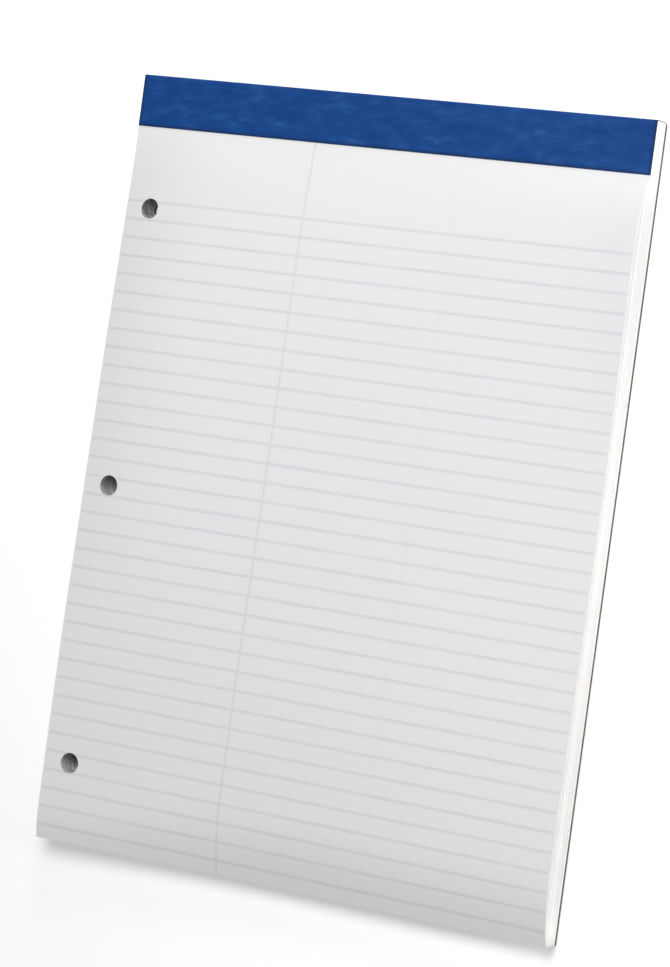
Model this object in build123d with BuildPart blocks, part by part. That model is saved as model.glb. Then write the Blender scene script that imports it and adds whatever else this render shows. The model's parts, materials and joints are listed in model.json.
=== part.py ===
from build123d import *
import os

# A three-hole punched writing pad, lying on its chipboard back.
# +X is the pad's right, +Y its bound head and +Z the way the top sheet faces.
# The origin is on the surface that the pad lies on, under the middle of the pad.

# ---- Driving dimensions, in millimetres ----

# The bound pad, trimmed flush on all four sides
pad_width = 215.9
pad_length = 298.45
head_thickness = 9.4

# Chipboard back
board_thickness = 1.5

# Binding strip: one strip folded over the head, glued to the top sheet and to the board
strip_thickness = 0.25
front_flap = 20.0
back_flap = 20.0
front_fold_radius = 0.6
back_fold_radius = 2.0

# The loose sheets open out below the strip, swell and droop to the foot.
# Heights are above the surface that the pad lies on.
shoulder_past_strip = 42.0
shoulder_height = 12.0
middle_height = 13.3
crest_from_foot = 48.0
crest_height = 15.2
foot_height = 11.9
opening_slope = 0.2
droop_slope = 0.2

# Punched holes, centred along the part of the sheet that tears off below the stub
hole_radius = 3.95
hole_pitch = 107.95
hole_from_left = 11.5
hole_count = 3
stub_depth = 21.0

# Wire stitches through the stub, hidden under the strip
wire_diameter = 0.6
stitch_count = 3
stitch_pitch = 70.0
stitch_crown = 12.7
stitch_clinch = 4.0
stitch_bend_radius = 0.9
stitch_from_head = 9.5
stitch_clearance = 0.05

# ---- Places worked out from the driving dimensions ----

head_y = pad_length / 2
foot_y = -pad_length / 2

# The core is everything inside the binding strip
core_head_y = head_y - strip_thickness
core_top_z = head_thickness - strip_thickness
core_front_radius = front_fold_radius - strip_thickness
core_back_radius = back_fold_radius - strip_thickness
front_flap_y = head_y - front_flap
back_flap_y = head_y - back_flap

shoulder_y = front_flap_y - shoulder_past_strip
crest_y = foot_y + crest_from_foot
middle_y = (shoulder_y + crest_y) / 2

hole_x = hole_from_left - pad_width / 2
hole_middle_y = foot_y + (pad_length - stub_depth) / 2

# The wire lies sunk in the top sheet and in the board's back, flush with both
stitch_y = head_y - stitch_from_head
crown_z = core_top_z - wire_diameter / 2
clinch_z = strip_thickness + wire_diameter / 2
stitch_xs = [(i - (stitch_count - 1) / 2) * stitch_pitch for i in range(stitch_count)]


# ---- Side profiles, seen from the right: local x is +Y, local y is +Z ----

# The core, rounded at the head where the strip folds round it
with BuildSketch(Plane.YZ) as core_side:
    with BuildLine():
        FilletPolyline(
            (foot_y, core_top_z),
            (core_head_y, core_top_z),
            (core_head_y, strip_thickness),
            (foot_y, strip_thickness),
            radius=[core_front_radius, core_back_radius],
        )
        Line((foot_y, strip_thickness), (foot_y, core_top_z))
    make_face()

# The swell of the loose sheets, from the strip's lower edge to the foot
with BuildSketch(Plane.YZ) as loose_side:
    with BuildLine():
        Spline(
            (front_flap_y, core_top_z),
            (shoulder_y, shoulder_height),
            (middle_y, middle_height),
            (crest_y, crest_height),
            (foot_y, foot_height),
            tangents=[(-1, opening_slope), (-1, -droop_slope)],
        )
        Polyline(
            (foot_y, foot_height),
            (foot_y, board_thickness),
            (front_flap_y, board_thickness),
            (front_flap_y, core_top_z),
        )
    make_face()


def stitch_line(x):
    """The centre line of one wire stitch: two clinched ends, two legs and a crown."""
    half = stitch_crown / 2
    return FilletPolyline(
        (x - half + stitch_clinch, stitch_y, clinch_z),
        (x - half, stitch_y, clinch_z),
        (x - half, stitch_y, crown_z),
        (x + half, stitch_y, crown_z),
        (x + half, stitch_y, clinch_z),
        (x + half - stitch_clinch, stitch_y, clinch_z),
        radius=stitch_bend_radius,
    )


# ---- Wire stitches ----

with BuildPart() as staples:
    for x in stitch_xs:
        with BuildLine() as line:
            stitch_line(x)
        with BuildSketch(line.line ^ 0):
            Circle(wire_diameter / 2)
        sweep(path=line.line)
staples.part.label = "staples"

# The channels that the stitches make in the sheets and the board
with BuildPart() as channels:
    for x in stitch_xs:
        with BuildLine() as line:
            stitch_line(x)
        with BuildSketch(line.line ^ 0):
            Circle(wire_diameter / 2 + stitch_clearance)
        sweep(path=line.line)


def punch_holes():
    """Cut the column of punched holes through the piece being built."""
    with Locations((hole_x, hole_middle_y)):
        with GridLocations(0, hole_pitch, 1, hole_count):
            Hole(radius=hole_radius)


# ---- Sheets: the whole block of pages ----

with BuildPart() as sheets:
    with BuildSketch(Plane.YZ):
        add(core_side.sketch_local)
        with Locations((front_flap_y, board_thickness)):
            Rectangle(front_flap, core_top_z, align=(Align.MIN, Align.MIN), mode=Mode.INTERSECT)
        add(loose_side.sketch_local)
    extrude(amount=pad_width / 2, both=True)
    punch_holes()
    add(channels.part, mode=Mode.SUBTRACT)
sheets.part.label = "sheets"


# ---- Chipboard back, pressed thinner where the strip's back flap is glued to it ----

with BuildPart() as back_board:
    with BuildSketch(Plane.YZ):
        add(core_side.sketch_local)
        with Locations((back_flap_y, 0)):
            Rectangle(back_flap, board_thickness, align=(Align.MIN, Align.MIN), mode=Mode.INTERSECT)
        with Locations((foot_y, 0)):
            Rectangle(back_flap_y - foot_y, board_thickness, align=(Align.MIN, Align.MIN))
    extrude(amount=pad_width / 2, both=True)
    punch_holes()
    add(channels.part, mode=Mode.SUBTRACT)
back_board.part.label = "back_board"


# ---- Binding strip ----

with BuildPart() as binding_strip:
    with BuildSketch(Plane.YZ):
        with BuildLine():
            FilletPolyline(
                (front_flap_y, head_thickness),
                (head_y, head_thickness),
                (head_y, 0),
                (back_flap_y, 0),
                radius=[front_fold_radius, back_fold_radius],
            )
            offset(amount=strip_thickness, side=Side.RIGHT)
        make_face()
    extrude(amount=pad_width / 2, both=True)
binding_strip.part.label = "binding_strip"


# ---- One STEP file for each piece ----

os.makedirs("parts", exist_ok=True)
export_step(sheets.part, "parts/sheets.step")
export_step(back_board.part, "parts/back_board.step")
export_step(binding_strip.part, "parts/binding_strip.step")
export_step(staples.part, "parts/staples.step")
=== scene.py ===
import json
import math
import random

import bmesh
import bpy
from mathutils import Matrix, Vector, noise
from mathutils.bvhtree import BVHTree


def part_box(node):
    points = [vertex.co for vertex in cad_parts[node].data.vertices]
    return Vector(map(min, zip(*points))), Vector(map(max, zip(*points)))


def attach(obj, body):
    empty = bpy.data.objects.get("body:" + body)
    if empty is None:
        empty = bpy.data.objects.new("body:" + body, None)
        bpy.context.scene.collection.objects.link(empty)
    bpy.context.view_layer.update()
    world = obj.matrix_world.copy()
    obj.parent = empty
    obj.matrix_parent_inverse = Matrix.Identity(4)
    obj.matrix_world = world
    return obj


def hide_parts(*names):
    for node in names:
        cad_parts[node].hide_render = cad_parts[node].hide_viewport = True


# A three-hole punched writing pad on its chipboard back.
# Metres: +X is the pad's right, +Y its bound head and +Z the way the top sheet faces.

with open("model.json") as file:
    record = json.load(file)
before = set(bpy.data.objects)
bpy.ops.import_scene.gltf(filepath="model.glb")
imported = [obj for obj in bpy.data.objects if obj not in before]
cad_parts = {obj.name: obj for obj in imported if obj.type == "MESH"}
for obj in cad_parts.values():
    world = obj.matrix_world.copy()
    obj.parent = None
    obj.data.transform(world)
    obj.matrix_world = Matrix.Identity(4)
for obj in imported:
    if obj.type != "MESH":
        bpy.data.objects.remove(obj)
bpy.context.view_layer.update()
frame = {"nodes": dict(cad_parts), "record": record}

MM = 0.001

# Two small distances: what still counts as on an edge, and what is clear of it
hair = 0.001 * MM
just_inside = 0.01 * MM

# ---- The pad's own places, read from the frame ----

sheets_low, sheets_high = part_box("sheets")
strip_low, strip_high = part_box("binding_strip")
wire_low, wire_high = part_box("staples")
board_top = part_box("back_board")[1].z

half_width = sheets_high.x
head_y = strip_high.y
foot_y = sheets_low.y
flap_y = strip_low.y
flap_depth = head_y - flap_y
pad_length = head_y - foot_y

holes = [m for m in frame["record"]["mounts"] if m["kind"] == "bore"]
hole_radius = holes[0]["dims"]["r_mm"] * MM
hole_places = [(m["pos_m"][0], m["pos_m"][1]) for m in holes]
hole_x = hole_places[0][0]
hole_rows = sorted(y for x, y in hole_places)
middle_hole_y = hole_rows[1]
hole_pitch = hole_rows[1] - hole_rows[0]

# The three wire stitches through the stub
wire_radius = 0.3 * MM
wire_clearance = 0.05 * MM
stitch_half_crown = 6.35 * MM
stitch_pitch = 70 * MM
stitch_xs = (-stitch_pitch, 0.0, stitch_pitch)
stitch_y = (wire_low.y + wire_high.y) / 2

# ---- The paper ----

sheet_count = 100
top_number = sheet_count - 1

# The share of the stub's height that is paper and not air
pressed_share = 0.975

# How unevenly the spare height of the loose pile falls between its sheets
lowest_gap_weight = 0.25
gap_weight_spread = 3
gap_rarity = 4

# How far out of true the sheets are trimmed and punched, at most
side_trim = 0.035 * MM
foot_trim = 0.12 * MM
punch_slip = 0.02 * MM

# The print, from the head and from the left edge
first_rule = 49.1 * MM
rule_pitch = 7.17 * MM
rule_width = 1.05 * MM
margin_from_left = 79.0 * MM
margin_width = 0.9 * MM
back_margin_from_left = 141.0 * MM
back_margin_width = 1.8 * MM

# The row of cuts that a sheet tears off at
cuts_from_head = 21 * MM
cut_width = 0.16 * MM
cut_pitch = 1.1 * MM

# How the handled sheets lie out of true: (distance from the head, height), both in millimetres.
# Each side leans up or down from the middle line, the curl is at the right edge and the roll at
# the left.
right_lean_knots = (
    (20, 0), (28, 2.0), (37, 2.8), (62, 2.4), (87, 1.3), (108, 0.6),
    (132, -0.1), (150, -0.5), (216, -1.2), (259, -0.8), (299, 0.4),
)
right_curl_knots = ((20, 0), (30, 1.4), (55, 0.9), (110, 0), (299, 0))
left_lean_knots = (
    (20, 0), (25, 1.6), (36, 2.0), (70, 1.8), (110, 2.3),
    (150, 2.2), (200, 1.6), (270, 2.8), (299, 5.3),
)
left_roll_knots = (
    (20, 0), (23, 3.6), (38, 4.0), (70, 3.2),
    (110, 2.5), (150, 2.0), (220, 1.0), (299, 0.6),
)
right_curl_reach = 24 * MM
left_roll_reach = 50 * MM
knot_smoothing = 24

# The sheets open slowly beside the strip, and roll down at the foot
opening_delay = 0.45
opening_reach = 14 * MM
foot_roll = 2.9 * MM
foot_roll_reach = 26 * MM
swell_smoothing = 20

# The top sheet lies no lower than the stub, and stands at most a little above the solid block
stub_blend = 0.8 * MM
knee_below_top = 0.6 * MM
ceiling_above_top = 0.4 * MM

table_length = int(pad_length / MM) + 2


def smoothed(values, passes):
    """A list of heights with its corners rounded and its two ends kept."""
    for _ in range(passes):
        inner = [(a + 2 * b + c) / 4 for a, b, c in zip(values, values[1:], values[2:])]
        values = [values[0], *inner, values[-1]]
    return values


def read_off(table, from_head):
    """The value that a table, with one entry a millimetre, holds at a distance from the head."""
    place = min(max(from_head / MM, 0), len(table) - 1.001)
    i = int(place)
    return table[i] + (table[i + 1] - table[i]) * (place - i)


def knots_to_table(knots):
    """One value a millimetre, from the head to the foot, along a smoothed line of knots."""
    table = []
    for d in range(table_length):
        value = knots[0][1]
        for (d0, v0), (d1, v1) in zip(knots, knots[1:]):
            if d0 <= d <= d1:
                value = v0 + (v1 - v0) * (d - d0) / (d1 - d0)
        table.append(value * MM)
    start = knots[0][0]
    return table[:start] + smoothed(table[start:], knot_smoothing)


# The block's own height and its rounded head end, felt out on the CAD solid
felt_at_x = half_width / 2
block = frame["nodes"]["sheets"].data
block_tree = BVHTree.FromPolygons([v.co for v in block.vertices], [p.vertices for p in block.polygons])


def felt_height(from_head):
    y = max(head_y - from_head, foot_y + just_inside)
    return block_tree.ray_cast(Vector((felt_at_x, y, 1)), Vector((0, 0, -1)))[0].z


def felt_head_end(z):
    return block_tree.ray_cast(Vector((felt_at_x, 1, z)), Vector((0, -1, 0)))[0].y


stub_height = felt_height(flap_depth / 2)
loose_start = int(flap_depth / MM + 0.5)
loose_heights = [felt_height(d * MM) for d in range(loose_start, table_length)]
height_table = [stub_height] * loose_start + smoothed(loose_heights, swell_smoothing)
right_lean = knots_to_table(right_lean_knots)
right_curl = knots_to_table(right_curl_knots)
left_lean = knots_to_table(left_lean_knots)
left_roll = knots_to_table(left_roll_knots)

sheet_pitch = (stub_height - board_top) / sheet_count
sheet_thickness = sheet_pitch * pressed_share
pile_thickness = sheet_thickness * sheet_count


def opening(from_head):
    """The share of the block's swell that the sheets reach: they open slowly beside the strip."""
    return 1 - opening_delay * math.exp((flap_depth - from_head) / opening_reach)


def soft_max(a, b, blend):
    """The higher of two heights, with the corner where they meet rounded."""
    h = max(blend - abs(a - b), 0) / blend
    return max(a, b) + h * h * blend / 4


def top_height(x, y):
    """How high the top sheet lies over a place on the pad."""
    from_head = head_y - y
    if from_head <= flap_depth + hair:
        return stub_height
    z = stub_height + (read_off(height_table, from_head) - stub_height) * opening(from_head)
    z -= foot_roll * max(0, 1 - (pad_length - from_head) / foot_roll_reach) ** 2
    # Both leans meet level at the middle line
    side = abs(x) / half_width
    lean = side * side * (1.5 - 0.5 * side)
    if x > 0:
        z += lean * read_off(right_lean, from_head)
        z += max(0, 1 - (half_width - x) / right_curl_reach) ** 2 * read_off(right_curl, from_head)
    else:
        z += lean * read_off(left_lean, from_head)
        z -= max(0, 1 - (half_width + x) / left_roll_reach) ** 3 * read_off(left_roll, from_head)
    z = soft_max(z, stub_height, stub_blend)
    # The highest places level off just above the solid block
    knee = sheets_high.z - knee_below_top
    room = knee_below_top + ceiling_above_top
    if z > knee:
        z = knee + room * (1 - math.exp((knee - z) / room))
    return z


# ---- The lines that every sheet bends at, the same in all so that none comes through another ----

# Across the sheet they are closest at its long edges, and down it below the strip and at the foot
strips_across = 22
evenly_turned = [math.pi * i / strips_across for i in range(1, strips_across)]
bends_from_left = [-half_width * math.cos(turn) for turn in evenly_turned]
bends_from_head = (
    20, 22, 24.5, 27, 30, 33.5, 38, 44, 52, 62, 75, 90, 108, 128, 150, 172, 192, 210,
    226, 240, 252, 262, 270, 277, 283, 288.5, 293.5,
)

# A window round each hole and along the stitches, which is filled afresh
hole_window = hole_radius + 2 * MM
stitch_window = 2 * MM
closest_bend = 1.2 * MM

hole_sides = [hole_x - hole_window, hole_x + hole_window]
window_ends = [y + side * hole_window for x, y in hole_places for side in (-1, 1)]
window_ends += [stitch_y - stitch_window, stitch_y + stitch_window]


def with_windows(bends, windows):
    """The bends and the windows' sides in order, without a bend right beside a window's side."""
    clear = [b for b in bends if min(abs(b - w) for w in windows) > closest_bend]
    return sorted(clear + windows)


bends_across = with_windows(bends_from_left, hole_sides)
bends_along = with_windows([head_y - d * MM for d in bends_from_head], window_ends)


# ---- Making punched sheets ----

cut_tolerance = 1e-7
top_hole_segments = 48
lower_hole_segments = 24
slot_segments = 12
slit_segments = 8


def ring(bm, x, y, radius, segments, half_length=0.0):
    """A round outline, or a slot's when it is drawn out to both sides."""
    made = bmesh.ops.create_circle(
        bm, segments=segments, radius=radius, matrix=Matrix.Translation((x, y, 0))
    )
    for v in made["verts"]:
        v.co.x += math.copysign(half_length, v.co.x - x)


def cut_across(bm, axis, places):
    """Lines across the whole mesh, for it to bend at."""
    for place in places:
        bmesh.ops.bisect_plane(
            bm,
            geom=bm.verts[:] + bm.edges[:] + bm.faces[:],
            plane_co=axis * place,
            plane_no=axis,
            dist=cut_tolerance,
        )


def let_in(bm, low, high, draw_outlines):
    """Fill a window between the cuts afresh, leaving open the outlines that are drawn in it."""
    window = []
    for face in bm.faces:
        middle = face.calc_center_bounds()
        if low[0] < middle.x < high[0] and low[1] < middle.y < high[1]:
            window.append(face)
    inside = set(window)
    window_edges = [e for f in window for e in f.edges if sum(g in inside for g in e.link_faces) == 1]
    bmesh.ops.delete(bm, geom=window, context="FACES")
    before = set(bm.edges)
    draw_outlines()
    outline_edges = [e for e in bm.edges if e not in before]
    bmesh.ops.triangle_fill(bm, edges=window_edges + outline_edges, use_beauty=True, normal=(0, 0, 1))


def punched_sheet(name, slotted, hole_segments):
    """One flat sheet with its three round holes, and a slit for each wire leg or a slot for each crown."""
    bm = bmesh.new()
    to_size = Matrix.Diagonal((2 * half_width, pad_length, 1, 1))
    to_place = Matrix.Translation((0, (head_y + foot_y) / 2, 0))
    bmesh.ops.create_grid(bm, x_segments=1, y_segments=1, size=0.5, matrix=to_place @ to_size)
    cut_across(bm, Vector((1, 0, 0)), bends_across)
    cut_across(bm, Vector((0, 1, 0)), bends_along)
    for x, y in hole_places:
        let_in(
            bm,
            (x - hole_window, y - hole_window),
            (x + hole_window, y + hole_window),
            lambda: ring(bm, x, y, hole_radius, hole_segments),
        )

    def wire_openings():
        radius = wire_radius + wire_clearance
        for x in stitch_xs:
            if slotted:
                ring(bm, x, stitch_y, radius, slot_segments, stitch_half_crown)
            else:
                for leg in (-1, 1):
                    ring(bm, x + leg * stitch_half_crown, stitch_y, radius, slit_segments)

    stub_side = bends_across[-1]
    let_in(
        bm,
        (-stub_side, stitch_y - stitch_window),
        (stub_side, stitch_y + stitch_window),
        wire_openings,
    )
    mesh = bpy.data.meshes.new(name)
    bm.to_mesh(mesh)
    bm.free()
    return mesh


# ---- Laying the sheets ----


def gap_shares(rng):
    """How the loose pile's spare height is shared between the sheets: some cling, some part."""
    weights = []
    for _ in range(sheet_count):
        weights.append(lowest_gap_weight + rng.random() ** gap_rarity * gap_weight_spread)
    total, shares = 0.0, []
    for w in weights:
        total += w
        shares.append(total)
    return [s / total for s in shares]


rng = random.Random(21)
shares_near_head = gap_shares(rng)
shares_near_foot = gap_shares(rng)


def lay_sheet(verts, number, tone_layer):
    """Lay one flat sheet in its place in the pile: number 0 is on the board, and the last on top."""
    uneven = 0 if number == top_number else 1
    off_right, off_left = (rng.random() * side_trim * uneven for _ in range(2))
    off_foot = rng.random() * foot_trim * uneven
    slip_x, slip_y = (rng.uniform(-punch_slip, punch_slip) * uneven for _ in range(2))
    tone = rng.random()
    head_end = felt_head_end(board_top + (number + 0.5) * sheet_pitch)
    rim_reach = hole_radius * 1.02
    for v in verts:
        x, y = v.co.x, v.co.y
        down = (head_y - y) / pad_length
        share = shares_near_head[number] * (1 - down) + shares_near_foot[number] * down
        spare = top_height(x, y) - board_top - pile_thickness
        v.co.z = board_top + (number + 1) * sheet_thickness + spare * share
        v[tone_layer] = tone
        for hx, hy in hole_places:
            if math.hypot(x - hx, y - hy) < rim_reach:
                v.co.x += slip_x
                v.co.y += slip_y
        if x > half_width - hair:
            v.co.x -= off_right
        if x < -half_width + hair:
            v.co.x += off_left
        if y > head_y - hair:
            v.co.y = head_end
        if y < foot_y + hair:
            v.co.y += off_foot


def finish_sheets(name, bm, materials):
    """Laid sheets as one piece, each given its thickness downwards and a cut edge all round."""
    for face in bm.faces:
        face.smooth = True
    for edge in bm.edges:
        edge.smooth = not edge.is_boundary
    mesh = bpy.data.meshes.new(name)
    bm.to_mesh(mesh)
    bm.free()
    piece = bpy.data.objects.new(name, mesh)
    bpy.context.scene.collection.objects.link(piece)
    for material in materials:
        mesh.materials.append(material)
    thickness = piece.modifiers.new("paper_thickness", "SOLIDIFY")
    thickness.thickness = sheet_thickness
    thickness.offset = -1
    thickness.material_offset_rim = 1
    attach(piece, "root")
    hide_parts("sheets")


# ---- Material helpers ----


def node(tree, kind, inputs=None, **settings):
    """Add a node, set it up, and join or set its inputs."""
    made = tree.nodes.new(kind)
    for name, value in settings.items():
        setattr(made, name, value)
    for key, value in (inputs or {}).items():
        if isinstance(value, bpy.types.NodeSocket):
            tree.links.new(value, made.inputs[key])
        else:
            made.inputs[key].default_value = value
    return made


def maths(tree, operation, a, b=0.0, c=0.0, clamp=False):
    return node(tree, "ShaderNodeMath", {0: a, 1: b, 2: c}, operation=operation, use_clamp=clamp).outputs[0]


def mix_colour(tree, factor, a, b):
    return node(tree, "ShaderNodeMix", {0: factor, 6: a, 7: b}, data_type="RGBA").outputs[2]


def places_on(tree):
    """The piece's own coordinates, whole and split into x and y."""
    whole = node(tree, "ShaderNodeTexCoord").outputs["Object"]
    split = node(tree, "ShaderNodeSeparateXYZ", {0: whole})
    return whole, split.outputs[0], split.outputs[1]


def stretched(tree, whole, x, y, z):
    return node(tree, "ShaderNodeMapping", {"Vector": whole, "Scale": (x, y, z)}).outputs[0]


def speckle(tree, vector, scale, detail=3.0, roughness=0.55):
    return node(
        tree,
        "ShaderNodeTexNoise",
        {"Vector": vector, "Scale": scale, "Detail": detail, "Roughness": roughness},
    ).outputs["Fac"]


def between(tree, value, low, high, to_low=0.0, to_high=1.0):
    """A value's place between two limits, eased, as a new value."""
    return node(
        tree,
        "ShaderNodeMapRange",
        {"Value": value, "From Min": low, "From Max": high, "To Min": to_low, "To Max": to_high},
        interpolation_type="SMOOTHSTEP",
    ).outputs[0]


def how_far(tree, value, place):
    """The distance of a value from a place, either way."""
    return maths(tree, "ABSOLUTE", maths(tree, "SUBTRACT", value, place))


def new_group(name, inputs, outputs):
    tree = bpy.data.node_groups.new(name, "ShaderNodeTree")
    for label, value in inputs.items():
        socket = tree.interface.new_socket(label, in_out="INPUT", socket_type="NodeSocketFloat")
        socket.default_value = value
    for label in outputs:
        tree.interface.new_socket(label, in_out="OUTPUT", socket_type="NodeSocketFloat")
    return tree, tree.nodes.new("NodeGroupInput").outputs, tree.nodes.new("NodeGroupOutput").inputs


def grouped(tree, group, values):
    made = tree.nodes.new("ShaderNodeGroup")
    made.node_tree = group
    for key, value in values.items():
        made.inputs[key].default_value = value
    return made.outputs


def fibre_group():
    """Felted fibres, as in paper and board: a fine tone, soft blotches, and a height for bump."""
    tree, given, out = new_group(
        "felted_fibres", {"Fibre Scale": 900.0, "Blotch Scale": 30.0}, ("Fibre", "Blotch", "Height")
    )
    whole, _, _ = places_on(tree)
    laid = stretched(tree, whole, 1.0, 0.45, 1.0)
    fine = speckle(tree, laid, given["Fibre Scale"], 4.0, 0.6)
    blotch = speckle(tree, whole, given["Blotch Scale"], 3.0, 0.5)
    tree.links.new(fine, out["Fibre"])
    tree.links.new(blotch, out["Blotch"])
    tree.links.new(maths(tree, "MULTIPLY_ADD", blotch, 0.4, fine), out["Height"])
    return tree


def trim_group():
    """1 along the pad's trimmed edges, fading to 0 a short reach inside them."""
    tree, given, out = new_group("near_trimmed_edge", {"Low Y": foot_y, "Reach": 0.8 * MM}, ("Mask",))
    _, x, y = places_on(tree)
    from_side = maths(tree, "SUBTRACT", half_width, maths(tree, "ABSOLUTE", x))
    from_low = maths(tree, "SUBTRACT", y, given["Low Y"])
    nearest = maths(tree, "MINIMUM", from_side, from_low)
    edge_nearness = maths(tree, "SUBTRACT", 1.0, maths(tree, "DIVIDE", nearest, given["Reach"]), clamp=True)
    tree.links.new(edge_nearness, out["Mask"])
    return tree


felted_fibres = fibre_group()
near_trimmed_edge = trim_group()


def new_material(name, specular):
    material = bpy.data.materials.new(name)
    material.use_nodes = True
    tree = material.node_tree
    shader = tree.nodes["Principled BSDF"]
    shader.inputs["Specular IOR Level"].default_value = specular
    return material, tree, shader


def add_bump(tree, shader, height, distance):
    bump = node(tree, "ShaderNodeBump", {"Height": height, "Distance": distance})
    tree.links.new(bump.outputs[0], shader.inputs["Normal"])


def printed_line(tree, distance, width):
    """1 on a printed line and 0 beside it, with the edge of the ink slightly soft."""
    return between(tree, distance, width * 0.1, width * 0.9, 1.0, 0.0)


# ---- Paper, printed and cut ----


def ruled_paper():
    material, tree, shader = new_material("ruled_white_paper", specular=0.25)
    whole, x, y = places_on(tree)
    fibres = grouped(tree, felted_fibres, {"Fibre Scale": 1400.0, "Blotch Scale": 26.0})

    cool_white = (0.850, 0.852, 0.868, 1)
    warm_white = (0.858, 0.850, 0.842, 1)
    fibre_grey = (0.7, 0.7, 0.69, 1)
    rule_ink = (0.732, 0.732, 0.772, 1)
    margin_ink = (0.765, 0.728, 0.742, 1)
    back_ink = (0.62, 0.58, 0.60, 1)
    cut_grey = (0.5, 0.5, 0.5, 1)

    sheet = mix_colour(tree, between(tree, fibres["Blotch"], 0.35, 0.65), cool_white, warm_white)
    sheet = mix_colour(tree, between(tree, fibres["Fibre"], 0.3, 0.75, 0.0, 0.05), sheet, fibre_grey)

    # The rules run nearly to the trimmed sides, unevenly inked
    from_head = maths(tree, "SUBTRACT", head_y, y)
    turn = maths(tree, "DIVIDE", maths(tree, "SUBTRACT", from_head, first_rule), rule_pitch)
    off_rule = how_far(tree, turn, maths(tree, "ROUND", turn))
    rules = printed_line(tree, maths(tree, "MULTIPLY", off_rule, rule_pitch), rule_width)
    below_first = maths(tree, "GREATER_THAN", turn, -0.5)
    inking = between(tree, speckle(tree, stretched(tree, whole, 0.3, 3.0, 1.0), 160.0), 0.2, 0.7, 0.55, 1.0)
    rules = maths(tree, "MULTIPLY", maths(tree, "MULTIPLY", rules, below_first), inking)
    off_trim = maths(tree, "SUBTRACT", half_width, maths(tree, "ABSOLUTE", x))
    rules = maths(tree, "MULTIPLY", rules, between(tree, off_trim, 0.1 * MM, 1.2 * MM))
    sheet = mix_colour(tree, rules, sheet, rule_ink)

    off_margin = how_far(tree, x, margin_from_left - half_width)
    margin = maths(tree, "MULTIPLY", printed_line(tree, off_margin, margin_width), inking)
    sheet = mix_colour(tree, margin, sheet, margin_ink)

    # The margin line of the back of the sheet shows faintly through it
    off_back = how_far(tree, x, back_margin_from_left - half_width)
    show_through = maths(tree, "MULTIPLY", printed_line(tree, off_back, back_margin_width), 0.035)
    sheet = mix_colour(tree, show_through, sheet, back_ink)

    # A fine row of cuts, where a sheet tears off
    cuts = printed_line(tree, how_far(tree, from_head, cuts_from_head), cut_width)
    dashes = maths(tree, "GREATER_THAN", maths(tree, "FRACT", maths(tree, "DIVIDE", x, cut_pitch)), 0.35)
    cuts = maths(tree, "MULTIPLY", cuts, dashes)
    sheet = mix_colour(tree, maths(tree, "MULTIPLY", cuts, 0.25), sheet, cut_grey)

    tree.links.new(sheet, shader.inputs["Base Color"])
    tree.links.new(between(tree, fibres["Fibre"], 0.2, 0.8, 0.78, 0.92), shader.inputs["Roughness"])
    height = maths(tree, "SUBTRACT", fibres["Height"], maths(tree, "MULTIPLY", cuts, 2.0))
    add_bump(tree, shader, height, 0.012 * MM)
    return material


def cut_paper():
    material, tree, shader = new_material("cut_paper_edge", specular=0.2)
    fibres = grouped(tree, felted_fibres, {"Fibre Scale": 2200.0, "Blotch Scale": 60.0})
    tone = node(tree, "ShaderNodeAttribute", attribute_name="sheet_tone").outputs["Fac"]

    creamy_edge = (0.80, 0.79, 0.775, 1)
    white_edge = (0.88, 0.88, 0.885, 1)
    fibre_grey = (0.70, 0.69, 0.67, 1)
    # Painted shade for the hole walls, far darker than crushed paper alone
    crush_shade_dark = (0.205, 0.205, 0.21, 1)
    crush_shade_pale = (0.225, 0.225, 0.23, 1)

    edge = mix_colour(tree, between(tree, tone, 0.0, 1.0), creamy_edge, white_edge)
    edge = mix_colour(tree, between(tree, fibres["Fibre"], 0.35, 0.7, 0.0, 0.12), edge, fibre_grey)

    # The punch greys the paper round the holes a little; most of the dark grey on the hole walls is painted
    # shade, standing in for the shade deep in the holes
    _, x, y = places_on(tree)
    off_column = maths(tree, "SUBTRACT", x, hole_x)
    turn = maths(tree, "DIVIDE", maths(tree, "SUBTRACT", y, middle_hole_y), hole_pitch)
    off_row = maths(tree, "MULTIPLY", maths(tree, "SUBTRACT", turn, maths(tree, "ROUND", turn)), hole_pitch)
    row_squared = maths(tree, "MULTIPLY", off_row, off_row)
    off_holes = maths(tree, "SQRT", maths(tree, "MULTIPLY_ADD", off_column, off_column, row_squared))
    crush_and_hole_shade = mix_colour(tree, tone, crush_shade_dark, crush_shade_pale)
    edge = mix_colour(tree, maths(tree, "LESS_THAN", off_holes, hole_radius * 1.1), edge, crush_and_hole_shade)

    tree.links.new(edge, shader.inputs["Base Color"])
    tree.links.new(between(tree, fibres["Blotch"], 0.3, 0.7, 0.85, 0.95), shader.inputs["Roughness"])
    add_bump(tree, shader, fibres["Height"], 0.01 * MM)
    return material


# ---- The strip, the board and the wire ----


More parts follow.
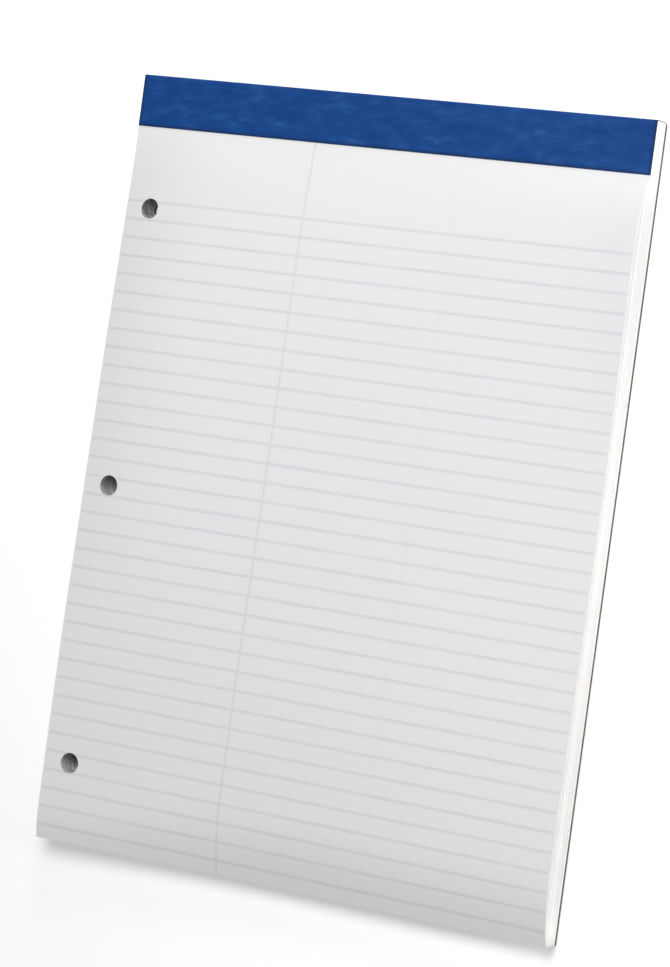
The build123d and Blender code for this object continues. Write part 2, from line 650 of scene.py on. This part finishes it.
def strip_face():
    material, tree, shader = new_material("blue_leather_grain_strip", specular=0.12)
    whole, _, _ = places_on(tree)

    dark_blue = (0.005, 0.048, 0.220, 1)
    mid_blue = (0.008, 0.060, 0.250, 1)
    light_blue = (0.021, 0.094, 0.315, 1)
    # Painted shade for the strip's edges
    edge_shade_blue = (0.008, 0.026, 0.075, 1)

    clouds = speckle(tree, stretched(tree, whole, 0.5, 1.0, 1.0), 240.0, 4.0, 0.6)
    streaks = speckle(tree, stretched(tree, whole, 0.12, 1.0, 1.0), 900.0, 3.0, 0.6)
    colour = mix_colour(tree, between(tree, clouds, 0.30, 0.55), dark_blue, mid_blue)
    colour = mix_colour(tree, between(tree, clouds, 0.52, 0.78), colour, light_blue)
    colour = mix_colour(tree, between(tree, streaks, 0.5, 0.8, 0.0, 0.5), colour, light_blue)
    # Painted shade: a dark blue band along the strip's cut sides and the flap's lower edge, for the thin
    # shadow at its edges
    edge_nearness = grouped(tree, near_trimmed_edge, {"Low Y": flap_y, "Reach": 1.5 * MM})["Mask"]
    colour = mix_colour(tree, maths(tree, "MULTIPLY", edge_nearness, 0.9), colour, edge_shade_blue)
    tree.links.new(colour, shader.inputs["Base Color"])

    grain = node(
        tree,
        "ShaderNodeTexVoronoi",
        {"Vector": stretched(tree, whole, 0.7, 1.0, 1.0), "Scale": 1100.0, "Smoothness": 0.6},
        feature="SMOOTH_F1",
    ).outputs["Distance"]
    height = maths(tree, "ADD", maths(tree, "MULTIPLY", grain, 1.2), clouds)
    tree.links.new(between(tree, grain, 0.1, 0.7, 0.42, 0.60), shader.inputs["Roughness"])
    add_bump(tree, shader, height, 0.03 * MM)
    return material


def strip_core():
    material, tree, shader = new_material("raw_strip_edge", specular=0.2)
    fibres = grouped(tree, felted_fibres, {"Fibre Scale": 1800.0, "Blotch Scale": 300.0})
    dark_core = (0.03, 0.027, 0.022, 1)
    pale_core = (0.08, 0.070, 0.056, 1)
    colour = mix_colour(tree, fibres["Fibre"], dark_core, pale_core)
    tree.links.new(colour, shader.inputs["Base Color"])
    tree.links.new(between(tree, fibres["Blotch"], 0.3, 0.7, 0.8, 0.95), shader.inputs["Roughness"])
    add_bump(tree, shader, fibres["Height"], 0.02 * MM)
    return material


def chipboard():
    material, tree, shader = new_material("grey_brown_chipboard", specular=0.25)
    whole, _, _ = places_on(tree)
    fibres = grouped(tree, felted_fibres, {"Fibre Scale": 700.0, "Blotch Scale": 55.0})

    dark_board = (0.250, 0.215, 0.158, 1)
    pale_board = (0.345, 0.303, 0.232, 1)
    blotch_brown = (0.29, 0.262, 0.21, 1)
    fleck_brown = (0.12, 0.10, 0.08, 1)
    rubbed_brown = (0.18, 0.155, 0.115, 1)
    dark_ply_and_shade = (0.070, 0.061, 0.044, 1)
    pale_ply_and_shade = (0.104, 0.092, 0.068, 1)

    face = mix_colour(tree, between(tree, fibres["Fibre"], 0.3, 0.7), dark_board, pale_board)
    face = mix_colour(tree, between(tree, fibres["Blotch"], 0.3, 0.7, 0.0, 0.35), face, blotch_brown)
    flecks = node(
        tree, "ShaderNodeTexVoronoi", {"Vector": stretched(tree, whole, 1.0, 0.35, 1.0), "Scale": 260.0}
    ).outputs
    chosen = maths(tree, "GREATER_THAN", flecks["Color"], 0.80)
    fleck = maths(tree, "MULTIPLY", between(tree, flecks["Distance"], 0.06, 0.16, 1.0, 0.0), chosen)
    face = mix_colour(tree, maths(tree, "MULTIPLY", fleck, 0.55), face, fleck_brown)
    rubbed = grouped(tree, near_trimmed_edge, {"Low Y": foot_y, "Reach": 1.2 * MM})["Mask"]
    face = mix_colour(tree, maths(tree, "MULTIPLY", rubbed, 0.25), face, rubbed_brown)

    # The plies show on the cut edges and in the holes. These sideways faces are also painted darker than
    # chipboard is, as painted shade for the contact shadow along the board's edge
    plies = speckle(tree, stretched(tree, whole, 0.02, 0.02, 1.0), 5200.0, 2.0, 0.5)
    edge = mix_colour(tree, between(tree, plies, 0.35, 0.65), dark_ply_and_shade, pale_ply_and_shade)
    facing = node(tree, "ShaderNodeNewGeometry").outputs["True Normal"]
    upward = maths(tree, "ABSOLUTE", node(tree, "ShaderNodeSeparateXYZ", {0: facing}).outputs[2])
    on_edge = maths(tree, "LESS_THAN", upward, 0.5)
    tree.links.new(mix_colour(tree, on_edge, face, edge), shader.inputs["Base Color"])

    tree.links.new(between(tree, fibres["Fibre"], 0.3, 0.7, 0.80, 0.93), shader.inputs["Roughness"])
    height = maths(tree, "ADD", fibres["Height"], maths(tree, "MULTIPLY", plies, on_edge))
    add_bump(tree, shader, height, 0.04 * MM)
    return material


def stitching_wire():
    material, tree, shader = new_material("drawn_steel_wire", specular=0.5)
    whole, _, _ = places_on(tree)
    drawn = speckle(tree, stretched(tree, whole, 0.05, 1.0, 1.0), 9000.0, 2.0, 0.5)
    dull_steel = (0.42, 0.43, 0.45, 1)
    bright_steel = (0.62, 0.63, 0.65, 1)
    tree.links.new(mix_colour(tree, drawn, dull_steel, bright_steel), shader.inputs["Base Color"])
    tree.links.new(between(tree, drawn, 0.3, 0.7, 0.26, 0.42), shader.inputs["Roughness"])
    shader.inputs["Metallic"].default_value = 1.0
    add_bump(tree, shader, drawn, 0.004 * MM)
    return material


# ---- The pile of sheets ----

paper = ruled_paper()
paper_edge = cut_paper()

top_flat = punched_sheet("top_flat", True, top_hole_segments)
plain_flat = punched_sheet("plain_flat", False, lower_hole_segments)
slotted_flat = punched_sheet("slotted_flat", True, lower_hole_segments)

# The crowns lie sunk in the upper sheets of the stub
crown_underside = wire_high.z - 2 * wire_radius - wire_clearance
first_slotted = int((crown_underside - board_top) / sheet_pitch)


def pile(name, numbers):
    """Sheets laid one on another, from the lowest number up, as one piece."""
    bm = bmesh.new()
    tone_layer = bm.verts.layers.float.new("sheet_tone")
    for number in numbers:
        if number == top_number:
            flat = top_flat
        else:
            flat = slotted_flat if number >= first_slotted else plain_flat
        before = len(bm.verts)
        bm.from_mesh(flat)
        bm.verts.ensure_lookup_table()
        lay_sheet(bm.verts[before:], number, tone_layer)
    finish_sheets(name, bm, (paper, paper_edge))


pile_names = ("lower_sheets", "middle_sheets", "upper_sheets")
for i, name in enumerate(pile_names):
    lowest = top_number * i // len(pile_names)
    past_highest = top_number * (i + 1) // len(pile_names)
    pile(name, range(lowest, past_highest))
pile("top_sheet", (top_number,))
for flat in (top_flat, plain_flat, slotted_flat):
    bpy.data.meshes.remove(flat)


# ---- The binding strip ----

ripple_height = 0.035 * MM
ripple_length = 14 * MM
ripple_cut_pitch = 3 * MM
flap_cut_pitch = 2.5 * MM
fold_cuts = 4
crease_angle = math.radians(40)


def binding_strip():
    """The folded strip, with the faint ripples that glue leaves in it."""
    bm = bmesh.new()
    bm.from_mesh(frame["nodes"]["binding_strip"].data)
    bmesh.ops.remove_doubles(bm, verts=bm.verts[:], dist=hair)
    bmesh.ops.dissolve_limit(bm, angle_limit=0.001, verts=bm.verts[:], edges=bm.edges[:])
    side_cuts = int(half_width / ripple_cut_pitch)
    flap_cuts = round(flap_depth / flap_cut_pitch)
    cut_across(bm, Vector((1, 0, 0)), [i * ripple_cut_pitch for i in range(-side_cuts, side_cuts + 1)])
    cut_across(bm, Vector((0, 1, 0)), [flap_y + i * flap_cut_pitch for i in range(1, flap_cuts)])
    cut_across(bm, Vector((0, 0, 1)), [strip_high.z * i / fold_cuts for i in range(1, fold_cuts)])
    bmesh.ops.recalc_face_normals(bm, faces=bm.faces[:])
    bm.normal_update()
    # The outer face of the front half ripples upwards, and the inner face stays on the sheets
    for v in bm.verts:
        swell = 0.5 + 0.5 * noise.noise(v.co / ripple_length)
        between_flaps = strip_low.z + just_inside < v.co.z < strip_high.z - just_inside
        inner = between_flaps and v.co.y < head_y - just_inside
        if not inner and v.co.z > strip_high.z / 2:
            v.co.z += ripple_height * swell
    # The cut ends, which face sideways, show the strip's core
    sideways = 0.9
    for face in bm.faces:
        face.smooth = True
        face.material_index = int(abs(face.normal.x) > sideways)
    mesh = bpy.data.meshes.new("folded_strip")
    bm.to_mesh(mesh)
    bm.free()
    mesh.set_sharp_from_angle(angle=crease_angle)
    piece = bpy.data.objects.new("folded_strip", mesh)
    bpy.context.scene.collection.objects.link(piece)
    mesh.materials.append(strip_face())
    mesh.materials.append(strip_core())
    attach(piece, "root")
    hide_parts("binding_strip")


binding_strip()

# ---- Finishes of the pieces that stay as they are ----


def repaint(name, material):
    data = frame["nodes"][name].data
    data.materials.clear()
    data.materials.append(material)


repaint("back_board", chipboard())
repaint("staples", stitching_wire())

# ---- Floor, light and camera ----

floor_reach = 4
room_light = 0.26
floor_glow = 0.26


def pale_floor():
    bm = bmesh.new()
    bmesh.ops.create_grid(bm, x_segments=1, y_segments=1, size=floor_reach)
    mesh = bpy.data.meshes.new("floor")
    bm.to_mesh(mesh)
    bm.free()
    material, _, shader = new_material("pale_floor", specular=0.0)
    shader.inputs["Base Color"].default_value = (0.96, 0.96, 0.96, 1)
    shader.inputs["Roughness"].default_value = 1.0
    shader.inputs["Emission Color"].default_value = (1, 1, 1, 1)
    shader.inputs["Emission Strength"].default_value = floor_glow
    mesh.materials.append(material)
    floor = bpy.data.objects.new("floor", mesh)
    bpy.context.scene.collection.objects.link(floor)


def soft_light(name, place, size, watts):
    """A round lamp, turned towards the pad."""
    light = bpy.data.lights.new(name, "AREA")
    light.shape = "DISK"
    light.size = size
    light.energy = watts
    lamp = bpy.data.objects.new(name, light)
    bpy.context.scene.collection.objects.link(lamp)
    lamp.location = place
    lamp.rotation_euler = (-Vector(place)).to_track_quat("-Z", "Y").to_euler()


def studio():
    scene = bpy.context.scene
    scene.view_settings.view_transform = "Standard"
    world = bpy.data.worlds.new("soft_room")
    world.use_nodes = True
    background = world.node_tree.nodes["Background"]
    background.inputs["Color"].default_value = (1, 1, 1, 1)
    background.inputs["Strength"].default_value = room_light
    scene.world = world
    soft_light("overhead", (0.18, 0.36, 0.90), size=0.5, watts=5.7)
    soft_light("past_the_head", (0.12, 1.0, 0.45), size=0.4, watts=2.4)
    soft_light("low_side", (1.1, 0.0, 0.12), size=0.25, watts=6.6)


def camera():
    data = bpy.data.cameras.new("camera")
    data.lens = 121.2
    data.sensor_width = 36
    data.shift_y = -0.1034
    eye = bpy.data.objects.new("camera", data)
    eye.location = (0.5644, 0.0441, 1.0833)
    eye.rotation_euler = (math.radians(3.91), math.radians(27.77), math.radians(8.73))
    bpy.context.scene.collection.objects.link(eye)
    bpy.context.scene.camera = eye


pale_floor()
studio()
camera()
